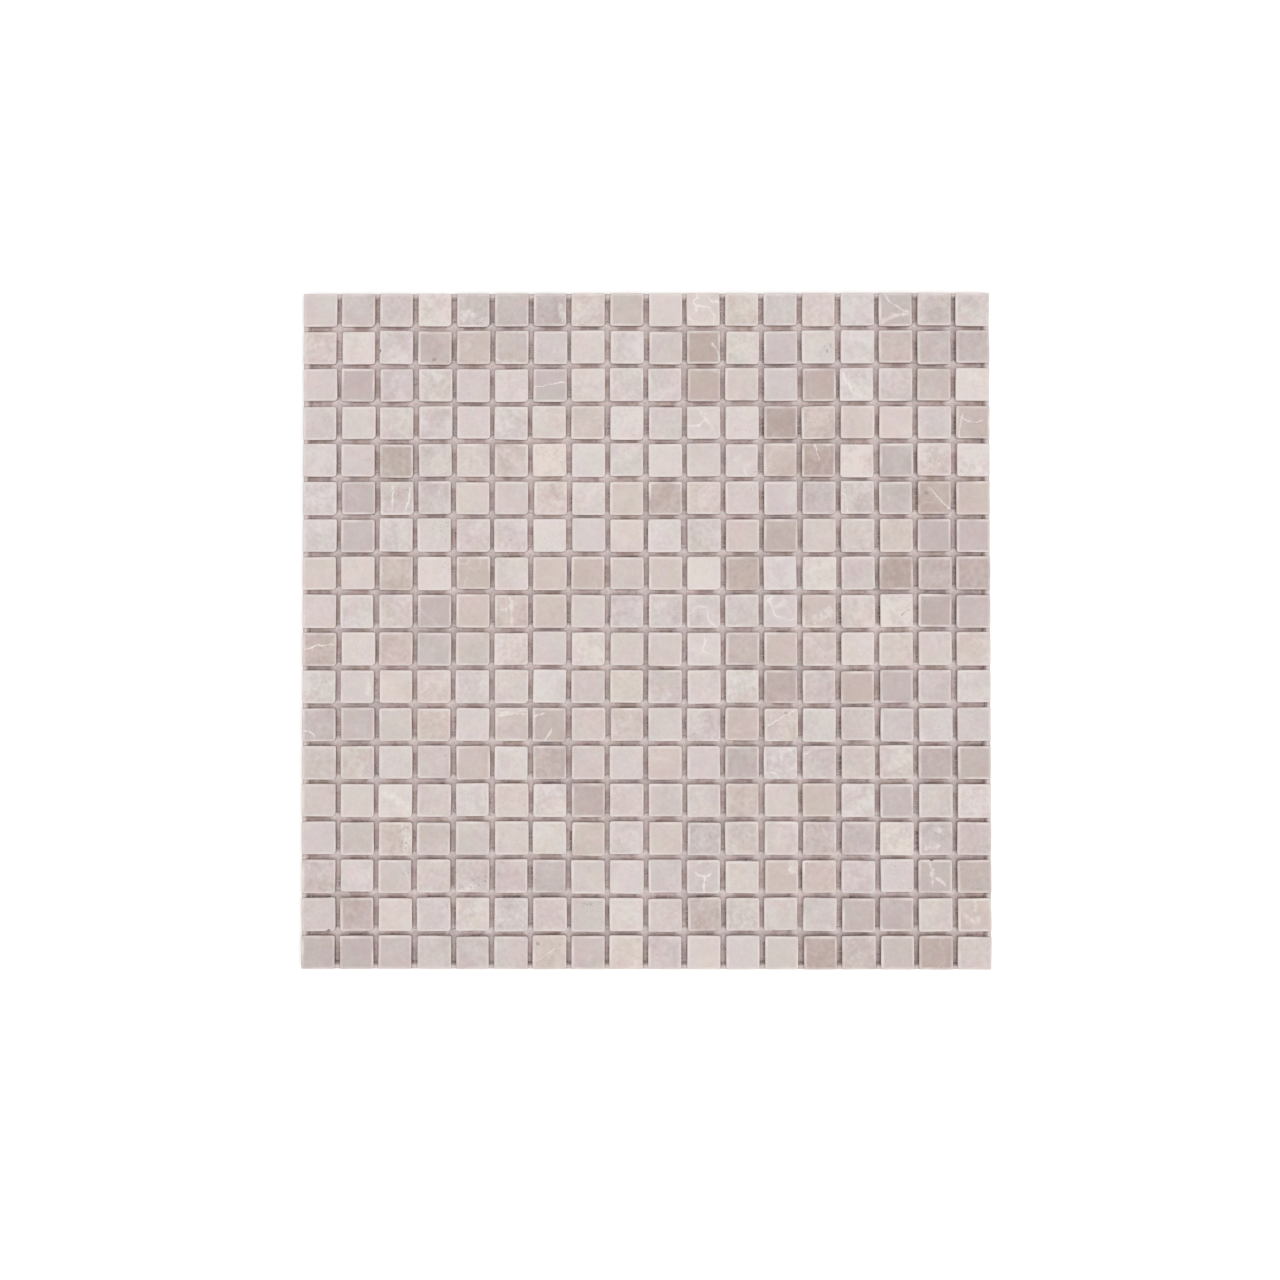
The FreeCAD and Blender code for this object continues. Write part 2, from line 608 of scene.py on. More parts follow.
@dataclass(frozen=True)
class SetAdhesive:
    """Adhesive that has set in the joints: thin and brownish along them, thick at crossings, with pale
    flecks and painted light at the crossings' mouths.
    """

    joints: Joints
    thin: Colour = srgb(207, 187, 182)
    middling: Colour = srgb(231, 214, 210)
    thick: Colour = srgb(203, 189, 188)
    # Pale flecks, and the painted light at the crossings' mouths
    fleck_and_lit: Colour = srgb(243, 233, 231)
    rusty: Colour = (1.015, 1.00, 0.965)
    lilac: Colour = (1.015, 0.975, 1.02)
    # At the joints' ends, where it stands high
    dusty: Colour = srgb(213, 199, 195)
    roughness: float = 0.42

    def material(self) -> bpy.types.Material:
        """Build the shader.

        Returns:
            The material.
        """
        shader = Shader("set_adhesive")
        speckle = shader.noise(900.0, 1.5)
        threads = self.joints.over_threads(shader)
        pale = self.joints.nearness(shader, 6.0, 1.5)
        uneven = shader.noise(62.0, 2.0) * 3.2 + shader.noise(210.0, 1.0) * 2.8
        share = 0.38 + pale * 0.5 + uneven * (1 - pale * 0.7) + speckle * 0.6 + threads * pale * 0.1
        colour = shader.stops(share, {0.0: self.thin, 0.38: self.middling, 1.0: self.thick})
        hue = (shader.noise(85.0, 1.0) * 3.2 + 0.5).ramp(0.0, 1.0)
        colour = shader.blend(1 - pale * 0.5, colour, shader.blend(hue, self.rusty, self.lilac), "MULTIPLY")
        flecks = shader.noise(700.0, 1.0).ramp(0.0, 0.16) * pale
        # Painted light: paler at the mouths of each crossing, most at the upper and left ones, with pale
        # flecks of adhesive
        milky_and_lit = flecks * 0.28 + self.joints.lit_mouths(shader) * 0.72
        colour = shader.blend(milky_and_lit, colour, self.fleck_and_lit)
        height = shader.parts(shader.place())[2]
        inputs = {
            "Base Color": shader.blend(height.ramp(1.6 * MM, 3.0 * MM) * 0.8, colour, self.dusty),
            "Roughness": self.roughness + speckle * 0.4,
            "Normal": shader.bump(speckle + threads * 0.6, 0.14 * MM, 0.3),
        }
        return shader.surface(inputs)


@dataclass(frozen=True)
class PaleFloor:
    """A plain white floor, matt."""

    colour: Colour = (0.82, 0.82, 0.82)
    seen: Colour = (1.0, 1.0, 1.0)
    unlit: Colour = (0.0, 0.0, 0.0)
    lift: float = 0.22

    def material(self) -> bpy.types.Material:
        """Build the shader.

        Returns:
            The material.
        """
        shader = Shader("floor")
        ray = shader.node("ShaderNodeLightPath")
        camera, glossy = (Value(shader, ray.outputs[f"Is {kind} Ray"]) for kind in ("Camera", "Glossy"))
        looked_at = camera.at_least(glossy)
        inputs = {
            "Base Color": shader.blend(looked_at, self.colour, self.seen),
            "Emission Color": shader.blend(looked_at, self.unlit, self.seen),
            "Emission Strength": self.lift,
            "Roughness": 1.0,
            "Specular IOR Level": 0.0,
        }
        return shader.surface(inputs)


class Tone(Enum):
    """Kinds of chip in the mix: how dark, how warm, and how far both vary."""

    CREAM = (0.235, 0.075, 0.52, 0.18)
    ROSE = (0.335, 0.075, 0.42, 0.16)
    PALE = (0.07, 0.03, 0.48, 0.10)
    BLOND = (0.13, 0.04, 0.50, 0.12)
    KHAKI = (0.48, 0.05, 0.85, 0.08)
    GREENISH = (0.42, 0.05, 0.95, 0.05)
    MAUVE = (0.56, 0.05, 0.22, 0.10)
    TAUPE = (0.68, 0.06, 0.52, 0.18)
    BROWN = (0.90, 0.04, 0.80, 0.08)

    def draw(self, chance: random.Random) -> tuple[float, float]:
        """Draw one chip's shade.

        Args:
            chance: The source of chance.

        Returns:
            How dark and how warm the chip is, each from 0 to 1.
        """
        dark, dark_spread, warm, warm_spread = self.value
        darkness = chance.gauss(dark, dark_spread)
        warmth = chance.gauss(warm, warm_spread)
        return min(max(darkness, 0.04), 1.0), min(max(warmth, 0.0), 1.0)


COMMON_TONES = (Tone.CREAM, Tone.CREAM, Tone.CREAM, Tone.ROSE)

# The chips that stand out, as row and column from the top left
STANDING_OUT = {
    Tone.TAUPE: (
        (2, 4), (3, 11), (3, 14), (4, 18), (5, 3), (6, 10), (7, 13), (8, 12), (8, 17), (8, 18), (9, 17),
        (10, 1), (10, 12), (11, 13), (11, 15), (12, 7), (13, 7), (13, 12), (13, 17), (13, 18), (14, 8),
        (16, 18), (17, 2), (17, 11),
    ),
    Tone.BROWN: ((2, 11), (4, 13), (5, 14), (6, 17), (8, 16), (18, 14), (18, 17)),
    Tone.MAUVE: (
        (1, 6), (1, 7), (1, 16), (2, 17), (2, 18), (3, 2), (3, 7), (5, 16), (6, 2), (6, 14), (6, 16),
        (7, 2), (7, 17), (7, 18), (9, 4), (9, 18), (10, 4), (11, 16), (12, 1), (12, 2), (14, 16),
        (15, 11), (15, 15), (15, 17), (16, 7), (16, 17), (17, 15), (17, 16), (18, 1), (18, 2), (18, 3),
        (18, 15),
    ),
    Tone.KHAKI: (
        (2, 5), (2, 16), (4, 8), (5, 13), (6, 18), (8, 3), (8, 5), (8, 7), (8, 8), (9, 5), (9, 7),
        (9, 14), (10, 3), (10, 13), (12, 6), (13, 5), (14, 12), (14, 14), (15, 8), (16, 13),
    ),
    Tone.GREENISH: (
        (4, 14), (6, 9), (9, 6), (12, 4), (12, 12), (13, 10), (15, 3), (16, 14), (17, 18), (18, 7),
    ),
    Tone.ROSE: ((15, 12), (17, 14)),
    Tone.PALE: ((1, 4), (3, 18), (4, 9), (5, 18), (7, 7), (8, 11), (9, 16), (14, 3)),
    Tone.BLOND: (
        (3, 15), (4, 2), (4, 5), (5, 10), (5, 15), (8, 4), (8, 14), (10, 2), (10, 6), (10, 8), (10, 15),
        (11, 18), (14, 5),
    ),
}
VEINED = (
    (1, 11), (2, 6), (4, 11), (5, 12), (6, 13), (6, 15), (9, 11), (9, 13), (10, 11), (13, 13), (13, 14),
    (16, 11),
)


@dataclass(frozen=True)
class Stroke:
    """A vein or a scatter of specks across one chip, in half sides from the chip's middle."""

    start: tuple[float, float]
    end: tuple[float, float]
    bow: float
    width: float

    def frame(self, place: Vector) -> tuple[float, float, float, float]:
        """Where a point lies by the stroke.

        Args:
            place: The point, in half sides from the chip's middle.

        Returns:
            From -1 at the stroke's start to 1 at its end, the distance to its left, its bow and 1
            over its width.
        """
        start, end = Vector(self.start), Vector(self.end)
        half = (end - start) / 2
        aside = place.xy - (start + end) / 2
        along = aside.dot(half) / half.length_squared
        beside = aside.dot(half.orthogonal()) / half.length
        return along, beside, self.bow, 1 / self.width


# Far outside every chip
NO_STROKE = Stroke((-9.0, -50.0), (9.0, -50.0), 0.0, 0.1)
VEINS = {
    (1, 5): (Stroke((-0.8, -0.5), (0.2, -0.2), 0.1, 0.34),),
    (1, 7): (Stroke((0.5, 0.5), (0.85, -0.9), 0.05, 0.20),),
    (1, 16): (
        Stroke((-0.7, 1.0), (1.05, -0.12), -0.30, 0.08),
        Stroke((-1.05, -0.85), (1.05, -0.25), 0.16, 0.16),
    ),
    (2, 11): (Stroke((0.5, 0.35), (0.95, -0.85), 0.08, 0.08),),
    (3, 7): (Stroke((-1.0, -0.05), (1.05, 0.22), -0.05, 0.05),),
    (3, 15): (Stroke((-0.85, 0.85), (0.35, -0.85), -0.22, 0.10),),
    (3, 18): (Stroke((-0.3, 0.65), (0.6, 0.15), 0.05, 0.28),),
    (4, 11): (Stroke((-0.5, 1.0), (0.85, -1.0), 0.08, 0.07),),
    (4, 18): (
        Stroke((-0.75, 0.35), (0.7, 0.25), -0.30, 0.05),
        Stroke((-0.75, -1.0), (-0.55, 0.7), 0.05, 0.06),
    ),
    (5, 14): (Stroke((-0.3, 1.0), (0.1, -0.05), 0.03, 0.06),),
    (5, 18): (Stroke((-0.7, -0.5), (1.0, -0.7), 0.0, 0.30),),
    (6, 3): (Stroke((0.8, 0.8), (0.4, -0.95), 0.12, 0.07), Stroke((-0.3, 0.85), (-0.35, -0.95), 0.1, 0.07)),
    (6, 17): (Stroke((-0.3, 0.65), (0.95, -0.75), -0.04, 0.07),),
    (9, 6): (Stroke((-0.05, 0.95), (0.0, -0.95), 0.0, 0.15), Stroke((-1.0, 0.1), (-0.2, 0.15), 0.0, 0.16)),
    (9, 14): (Stroke((-0.4, -0.7), (1.05, -0.05), 0.1, 0.40),),
    (10, 1): (Stroke((-1.05, -0.12), (1.05, 0.25), 0.16, 0.06),),
    (11, 2): (Stroke((0.45, 0.75), (0.6, -0.5), 0.1, 0.20),),
    (12, 1): (Stroke((-1.0, -0.35), (-0.2, -0.8), 0.2, 0.07),),
    (12, 6): (
        Stroke((-1.05, 0.72), (1.0, 0.80), -0.05, 0.12),
        Stroke((-0.9, 0.48), (0.9, 0.62), 0.05, 0.08),
    ),
    (12, 7): (
        Stroke((-0.35, -1.05), (0.2, -0.2), 0.0, 0.08),
        Stroke((-1.0, 0.42), (-0.2, 0.75), 0.05, 0.09),
    ),
    (12, 13): (Stroke((-0.95, -0.2), (0.95, 0.95), 0.05, 0.05),),
    (14, 3): (Stroke((-0.9, 0.45), (1.0, -0.5), 0.1, 0.26),),
    (15, 17): (Stroke((-0.5, 0.25), (0.4, 0.5), 0.1, 0.24), Stroke((-0.7, -0.7), (0.3, -0.35), 0.0, 0.20)),
    (15, 3): (Stroke((0.5, 1.0), (0.65, -1.0), 0.05, 0.28),),
    (16, 11): (Stroke((-0.55, 0.25), (0.5, 0.2), -0.25, 0.10), Stroke((0.1, 0.0), (0.05, -1.0), 0.0, 0.07)),
    (16, 13): (Stroke((0.6, 1.0), (0.75, 0.1), 0.0, 0.38),),
    (16, 17): (
        Stroke((-0.35, 0.95), (-0.15, -0.6), 0.08, 0.13),
        Stroke((-0.05, -0.1), (0.65, -0.6), 0.1, 0.12),
    ),
    (17, 18): (Stroke((-0.7, -0.15), (0.4, -0.35), 0.0, 0.24), Stroke((0.0, 1.0), (0.1, 0.2), 0.0, 0.14)),
    (16, 5): (Stroke((-0.9, -0.85), (0.3, -0.5), -0.1, 0.14),),
    (18, 7): (Stroke((-0.85, -0.6), (0.4, 0.35), -0.05, 0.035),),
}
SPECKS = {
    (1, 5): Stroke((0.1, -0.75), (0.95, -0.3), 0.0, 0.22),
    (2, 4): Stroke((-0.15, -0.7), (0.11, -0.7), 0.0, 0.11),
    (2, 14): Stroke((0.05, -0.5), (0.9, 0.15), 0.0, 0.24),
    (5, 18): Stroke((0.1, 0.35), (0.7, 0.5), 0.0, 0.24),
    (6, 3): Stroke((0.0, 0.3), (0.75, 0.35), 0.0, 0.24),
    (6, 17): Stroke((-0.62, 0.32), (-0.36, 0.32), 0.0, 0.11),
    (9, 16): Stroke((-0.1, -0.45), (0.8, 0.3), 0.0, 0.17),
    (12, 13): Stroke((0.16, 0.7), (0.38, 0.7), 0.0, 0.10),
    (15, 3): Stroke((0.45, 0.9), (0.6, -0.9), 0.0, 0.26),
    (16, 5): Stroke((-0.2, -0.65), (0.95, -0.1), 0.0, 0.28),
    (16, 11): Stroke((0.2, 0.62), (0.85, 0.82), 0.0, 0.17),
    (17, 8): Stroke((-0.4, 0.5), (0.4, 0.7), 0.0, 0.17),
    (18, 7): Stroke((-0.79, 0.51), (-0.57, 0.51), 0.0, 0.10),
}


class Side(Enum):
    """A side of a chip, by the way that it faces."""

    LEFT = (-1, 0)
    TOP = (0, 1)
    BOTTOM = (0, -1)


@dataclass(frozen=True)
class Nick:
    """A small piece knocked out of a chip's side: where along the side, in sides, and how deep."""

    side: Side
    place: float = -0.11
    depth: float = 0.7 * MM
    # Half its length, in sides
    half: float = 0.08


NICKED = {
    (2, 3): Nick(Side.LEFT),
    (16, 17): Nick(Side.TOP),
    (17, 1): Nick(Side.BOTTOM, place=0.3, depth=0.9 * MM),
}


@dataclass
class Chip:
    """One chip: where it lies, how it differs from its neighbours, and its shade."""

    VEIN_LAYERS: ClassVar[tuple[str, ...]] = ("vein_first", "vein_second")
    SPECK_LAYER: ClassVar[str] = "specks"
    # The four corners, by the ways that they face
    CORNERS: ClassVar[tuple[tuple[int, int], ...]] = ((1, 1), (-1, 1), (-1, -1), (1, -1))

    centre: Vector
    size: Vector
    turn: float
    corner_radii: Sequence[float]
    # How far its sides lean on X and Y, and then how far they taper
    pull: Sequence[float]
    # How dark, warm, veined and pitted it is, each from 0 to 1
    shade: tuple[float, float, float, float]
    veins: tuple[Stroke, ...]
    specks: Stroke
    nick: Nick | None
    chance: random.Random

    waviness: float = 0.04 * MM
    arris: float = 0.32 * MM
    corner_segments: int = 3
    arris_segments: int = 2

    def mesh(self) -> Shape:
        """Shape the chip and write its attributes.

        Returns:
            The chip's mesh, in its place in the sheet.
        """
        chip = bmesh.new()
        bmesh.ops.create_cube(chip, size=1.0)
        bmesh.ops.scale(chip, vec=self.size, verts=chip.verts)
        self._bow_sides(chip)
        for (right, up), radius in zip(self.CORNERS, self.corner_radii):
            upright = [e for e in chip.edges if abs(e.verts[0].co.z - e.verts[1].co.z) > 0.5 * self.size.z]
            corner = max(upright, key=lambda e: e.verts[0].co.x * right + e.verts[0].co.y * up)
            self._round([corner], chip, radius, self.corner_segments)
        top = max(chip.faces, key=lambda face: face.calc_center_median().z)
        self._round(list(top.edges), chip, self.arris, self.arris_segments)
        for face in chip.faces:
            face.smooth = abs(face.normal.z) < 0.99
        self._mark(chip)
        self._pull_out_of_square(chip)
        return put(chip, self.turn, self.centre)

    def _bow_sides(self, chip: Shape) -> None:
        """Divide each side upright and move it in or out a little, and knock in a nick if there is one.

        Args:
            chip: The chip's mesh.
        """
        cuts = [self.nick.place + step * self.nick.half for step in (-1, 0, 1)] if self.nick else [0.0]
        for normal, size in (((1, 0, 0), self.size.x), ((0, 1, 0), self.size.y)):
            for cut in cuts:
                everything = chip.verts[:] + chip.edges[:] + chip.faces[:]
                place = Vector(normal) * size * cut
                bmesh.ops.bisect_plane(chip, geom=everything, plane_co=place, plane_no=normal)
        for level in (1, -1):
            flat = [face for face in chip.faces if face.normal.z * level > 0.9]
            bmesh.ops.dissolve_faces(chip, faces=flat, use_verts=False)
        columns: dict[tuple[float, float], list[bmesh.types.BMVert]] = {}
        for vert in chip.verts:
            columns.setdefault((round(vert.co.x, 7), round(vert.co.y, 7)), []).append(vert)
        most = 2 * self.waviness
        for key in sorted(columns):
            side = tuple(
                round(2 * at / size) if abs(at) > 0.45 * size else 0 for at, size in zip(key, self.size)
            )
            if all(side):
                continue
            along = key[0] / self.size.x if side[0] == 0 else key[1] / self.size.y
            bow = min(max(self.chance.gauss(0, self.waviness), -most), most)
            if self.nick and self.nick.side.value == side and abs(along - self.nick.place) < 0.01:
                bow = -self.nick.depth
            for vert in columns[key]:
                vert.co += Vector((*side, 0)) * bow

    @staticmethod
    def _round(edges: list[bmesh.types.BMEdge], chip: Shape, radius: float, segments: int) -> None:
        """Round some edges.

        Args:
            edges: The edges.
            chip: The mesh that they are in.
            radius: How far in from them the rounding starts.
            segments: How many faces it takes.
        """
        bmesh.ops.bevel(
            chip, geom=edges, offset=radius, offset_type="OFFSET", segments=segments, profile=0.5,
            affect="EDGES", material=-1,
        )

    def _pull_out_of_square(self, chip: Shape) -> None:
        """Lean and taper the sides slightly, as a saw leaves them.

        Args:
            chip: The chip's mesh.
        """
        lean_x, lean_y, taper_x, taper_y = self.pull
        for vert in chip.verts:
            x, y = vert.co.xy
            vert.co.x += lean_x * y + taper_x * x * y / self.size.y
            vert.co.y += lean_y * x + taper_y * x * y / self.size.x

    def _mark(self, chip: Shape) -> None:
        """Write where in the stone the chip was sawn, each point's place on it, its shade and its veins.

        Args:
            chip: The chip's mesh.
        """
        stone = chip.verts.layers.float_vector.new("stone")
        place = chip.verts.layers.float_vector.new("chip")
        shade = chip.verts.layers.float_color.new("shade")
        strokes = dict(zip(self.VEIN_LAYERS, (*self.veins, NO_STROKE, NO_STROKE)))
        strokes[self.SPECK_LAYER] = self.specks
        layers = {name: chip.verts.layers.float_color.new(name) for name in strokes}
        lie = Matrix.Rotation(self.chance.uniform(0, 2 * math.pi), 3, "Z")
        origin = Vector([self.chance.uniform(0.0, 4.0) for _ in range(3)])
        for vert in chip.verts:
            vert[stone] = lie @ vert.co + origin
            vert[place] = [2 * at / size for at, size in zip(vert.co, self.size)]
            vert[shade] = self.shade
            for name, stroke in strokes.items():
                vert[layers[name]] = stroke.frame(vert[place])


@dataclass(frozen=True)
class Grid:
    """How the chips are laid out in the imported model, on X and on Y."""

    low: Vector
    high: Vector
    pitch: tuple[float, float]
    joint: tuple[float, float]
    count: tuple[int, int] = (18, 18)

    def joints(self, axis: int) -> list[float]:
        """Where the joints lie that are crossed in going along an axis."""
        return [(n - self.count[axis] / 2) * self.pitch[axis] for n in range(1, self.count[axis])]

    def runs(self) -> list[tuple[int, float]]:
        """Every joint, by the axis that it runs along (0 is X, 1 is Y) and its place on the other."""
        return [(axis, place) for axis in (1, 0) for place in self.joints(1 - axis)]

    def outward(self, row: int, column: int) -> tuple[int, int]:
        """Which way the sheet's outline lies from a chip, on X and on Y: -1, 1, or 0 for inner chips."""
        return (column == self.count[0]) - (column == 1), (row == 1) - (row == self.count[1])


@dataclass
class ChipRow:
    """One row of chips, in place of the plain ones of its node."""

    number: int
    grid: Grid
    trim: tuple[float, float] = (0.04 * MM, 0.17 * MM)
    size_spread: float = 0.17 * MM
    size_most: float = 0.1 * MM
    place_spread: float = 0.15 * MM
    turn_spread: float = math.radians(0.35)
    square_spread: float = 0.004
    # By the order of the chip's corners
    corner_radius: tuple[float, ...] = (0.75 * MM, 0.75 * MM, 0.75 * MM, 1.3 * MM)
    corner_spread: float = 0.2 * MM
    corner_least: float = 0.42 * MM

    @property
    def node(self) -> str:
        """The name of the row's node in the frame."""
        return f"chip_row_{self.number:02d}"

    def build(self, finish: bpy.types.Material) -> bpy.types.Object:
        """Build the row in the node's place.

        Args:
            finish: The stone's material.

        Returns:
            The row.
        """
        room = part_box(self.node)
        together = bmesh.new()
        for column in range(1, self.grid.count[0] + 1):
            chip = self._chip(column, *room).mesh()
            self._line_up(chip, column)
            join(together, chip)
        made = finished(f"{self.node}_stone", together, finish)
        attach(made, BODY)
        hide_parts(self.node)
        return made

    def _chip(self, column: int, low: Vector, high: Vector) -> Chip:
        """Draw one chip's size, place and shade.

        Args:
            column: The chip's column, from 1 at the left.
            low: The lowest corner of the row's node.
            high: Its highest corner.

        Returns:
            The chip.
        """
        side = high.y - low.y
        pitch = (high.x - low.x - side) / (self.grid.count[0] - 1)
        middle = Vector((low.x + side / 2 + (column - 1) * pitch, (low.y + high.y) / 2))
        spot = (self.number, column)
        chance = random.Random(1000 * self.number + column)
        tone = next((tone for tone, spots in STANDING_OUT.items() if spot in spots), None)
        darkness, warmth = (tone or chance.choice(COMMON_TONES)).draw(chance)
        over = [min(chance.gauss(0, self.size_spread), trim + self.size_most) for trim in self.trim]
        size = Vector([side - trim + more for trim, more in zip(self.trim, over)]).to_3d()
        size.z = high.z - low.z
        centre = Vector([at + chance.gauss(0, self.place_spread) for at in middle]).to_3d()
        centre.z = (low.z + high.z) / 2
        drawn = [chance.gauss(radius, self.corner_spread) for radius in self.corner_radius]
        radii = [max(radius, self.corner_least) for radius in drawn]
        outward = self.grid.outward(*spot)
        for number, corner in enumerate(Chip.CORNERS):
            if any(way and way == out for way, out in zip(corner, outward)):
                radii[number] = self.corner_least
        pull = [chance.gauss(0, self.square_spread) for _ in range(4)]
        turn = chance.gauss(0, self.turn_spread)
        veining = 1.0 if spot in VEINED else 0.35 * chance.random() ** 3
        return Chip(
            centre=centre,
            size=size,
            turn=turn,
            corner_radii=radii,
            pull=pull,
            shade=(darkness, warmth, veining, 0.6 * chance.random() ** 3),
            veins=VEINS.get(spot, ()),
            specks=SPECKS.get(spot, NO_STROKE),
            nick=NICKED.get(spot),
            chance=chance,
        )

    def _line_up(self, chip: Shape, column: int) -> None:
        """Move a chip of the sheet's border flush with its outline, which is straight.

        Args:
            chip: The chip's mesh.
            column: The chip's column.
        """
        for axis, outward in enumerate(self.grid.outward(self.number, column)):
            outline = self.grid.high[axis] if outward > 0 else self.grid.low[axis]
            outermost = max(outward * vert.co[axis] for vert in chip.verts) * outward
            for vert in chip.verts:
                vert.co[axis] += (outline - outermost) * abs(outward)


@dataclass(frozen=True)
class Threads:
    """One of the net's two sets of threads: its node, the axis that it runs along, and its sizes."""

    node: str
    along: int
    pitch: float
    width: float

    def count(self) -> int:
        """How many threads the node has room for."""
        low, high = (corner[1 - self.along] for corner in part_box(self.node))
        return round((high - low - self.width) / self.pitch) + 1


@dataclass
class ThreadLayer:
    """One set of the net's threads, woven over and under the other set."""

    own: Threads
    other: Threads
    # 1 if the first thread passes over the first that it crosses, and -1 if under
    first_side: int
    stray: float = 0.12 * MM
    wave: float = 60 * MM
    chance: random.Random = field(default_factory=lambda: random.Random(7))

    def build(self, finish: bpy.types.Material) -> bpy.types.Object:
        """Weave the layer and put it in the node's place.

        Args:
            finish: The thread's material.

        Returns:
            The layer.
        """
        node = self.own.node
        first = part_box(node)[0][1 - self.own.along] + self.own.width / 2
        pair = [self._thread(side) for side in (self.first_side, -self.first_side)]
        woven = bmesh.new()
        for number in range(self.own.count()):
            woven.from_mesh(pair[number % 2])
            woven.verts.ensure_lookup_table()
            self._lay(woven.verts[-len(pair[0].vertices):], first + number * self.own.pitch)
        for face in woven.faces:
            face.smooth = True
        for thread in pair:
            bpy.data.meshes.remove(thread)
        made = finished(f"{node}_woven", woven, finish)
        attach(made, BODY)
        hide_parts(node)
        return made

    def _thread(self, side: int) -> bpy.types.Mesh:
        """Shape one thread along X that passes over and under at each crossing.

        Args:
            side: 1 if it passes over at the first crossing, and -1 if under.

        Returns:
            The thread's mesh.
        """
        low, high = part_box(self.own.node)
        other_low, other_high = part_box(self.other.node)
        net_low, net_high = min(low.z, other_low.z), max(high.z, other_high.z)
        length = high[self.own.along] - low[self.own.along]
        thickness = high.z - low.z
        crossings = self.other.count()
        thread = bar((length, self.own.width, thickness), crossings)
        rise = (net_high - net_low - thickness) / 2
        for vert in thread.verts:
            ring = round((vert.co.x + length / 2) / (length / (crossings + 1)))
            if 0 < ring <= crossings:
                vert.co.x = (ring - (crossings + 1) / 2) * self.other.pitch
            vert.co.z += (net_high + net_low) / 2 + rise * side * (1 if ring % 2 else -1)
        mesh = bpy.data.meshes.new("thread")
        thread.to_mesh(mesh)
        thread.free()
        return mesh

    def _lay(self, verts: Sequence[bmesh.types.BMVert], place: float) -> None:
        """Move one thread's points to its place, with a slight wander of its own.

        Args:
            verts: The thread's points, still along X about the origin.
            place: Where the thread lies across.
        """
        phase = self.chance.uniform(0, 2 * math.pi)
        stray = self.chance.gauss(0, self.stray)
        along = self.own.along
        for vert in verts:
            at, beside, height = vert.co
            wander = stray * math.sin(at / self.wave * 2 * math.pi + phase)
            moved = Vector((0.0, 0.0, height))
            moved[along] = at
            moved[1 - along] = place + (-beside if along else beside) + wander
            vert.co = moved


